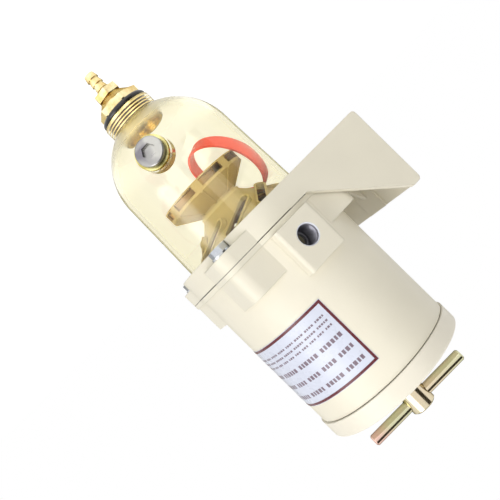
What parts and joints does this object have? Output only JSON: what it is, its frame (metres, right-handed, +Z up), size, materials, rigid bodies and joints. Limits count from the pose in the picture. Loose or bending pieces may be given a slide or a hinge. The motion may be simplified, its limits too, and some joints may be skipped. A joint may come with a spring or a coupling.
{
  "type": "fuel water separator",
  "caption": "Turbine fuel filter and water separator: cast barrel and lid with T-handle, clear sump bowl with turbine and barbed drain, cast clamp ring and wall bracket.",
  "frame": {"origin": "centre of the four bracket bolt holes, on the mounting face of the bracket", "axes": "+Z up along the filter from drain to lid, +Y into the wall, +X to the right seen from the front"},
  "size_m": [0.109, 0.1331, 0.2913],
  "materials": {
    "housing_paint": "cream powder coat on cast aluminium, soft satin",
    "bracket_paint": "cream powder coat on cast aluminium, soft satin",
    "lid_paint": "cream powder coat, satin",
    "zinc_steel": "bright zinc plate",
    "yellow_zinc": "yellow passivated zinc, glossy with faint green and pink tints",
    "black_rubber": "black nitrile rubber",
    "clear_bowl": "clear moulded polymer with a pale amber tint",
    "brass": "turned brass, bright",
    "nickel_plug": "bright nickel plate",
    "tan_plastic": "tan moulded nylon",
    "red_plastic": "red moulded plastic",
    "ball_steel": "polished ball",
    "element_cap": "dark moulded end cap",
    "element_core": "dark moulded core tube",
    "filter_medium": "resin treated pleated paper, pale green",
    "label_film": "bare pale film label with a dark red border"
  },
  "bodies": {
    "housing": {"body_housing": "housing_paint", "mounting_bracket": "bracket_paint", "ring_screws": "zinc_steel", "ring_screw_washers": "zinc_steel", "return_tube": "zinc_steel", "check_ball_cage": "tan_plastic", "bowl": "clear_bowl", "bowl_gasket": "black_rubber", "neck_insert": "brass", "drain_adapter": "brass", "drain_adapter_o_ring": "black_rubber", "probe_port_insert": "brass", "probe_port_plug": "nickel_plug", "probe_plug_o_ring": "black_rubber", "turbine_centrifuge": "tan_plastic", "turbine_gasket": "black_rubber", "water_baffle": "tan_plastic", "water_float_ring": "red_plastic", "data_label": "label_film"},
    "lid": {"lid": "lid_paint", "lid_gasket": "black_rubber", "t_handle_o_ring": "black_rubber"},
    "t_handle": {"t_handle_hub": "yellow_zinc", "t_handle_bar": "yellow_zinc"},
    "element": {"element_bottom_cap": "element_cap", "element_top_cap": "element_cap", "element_media": "filter_medium", "element_core": "element_core", "element_lower_grommet": "black_rubber", "element_upper_grommet": "black_rubber"},
    "bail": {"element_bail": "zinc_steel"},
    "check_ball": {"check_ball": "ball_steel"},
    "drain_valve": {"drain_valve": "brass", "drain_valve_o_ring": "black_rubber"}
  },
  "joints": [
    {"name": "lid_lift", "type": "slide", "parent": "housing", "child": "lid", "axis": [0, 0, 1], "range_m": [0, 0.16]},
    {"name": "t_handle_turn", "type": "hinge", "parent": "lid", "child": "t_handle", "pos_m": [0, -0.082, 0.1161], "axis": [0, 0, 1], "continuous": true},
    {"name": "element_lift", "type": "slide", "parent": "housing", "child": "element", "axis": [0, 0, 1], "range_m": [0, 0.08]},
    {"name": "bail_raise", "type": "hinge", "parent": "element", "child": "bail", "pos_m": [0, -0.082, 0.0911], "axis": [1, 0, 0], "range_deg": [0, 90]},
    {"name": "check_ball_travel", "type": "slide", "parent": "housing", "child": "check_ball", "axis": [0, 0, 1], "range_m": [0, 0.003]},
    {"name": "drain_valve_turn", "type": "hinge", "parent": "housing", "child": "drain_valve", "pos_m": [0, -0.082, -0.1439], "axis": [0, 0, 1], "range_deg": [0, 540]}
  ],
  "couplings": [
    {"joint": "element_lift", "follows": "lid_lift", "ratio": 0.5},
    {"joint": "bail_raise", "follows": "lid_lift", "rad_per_m": 9.8174}
  ]
}
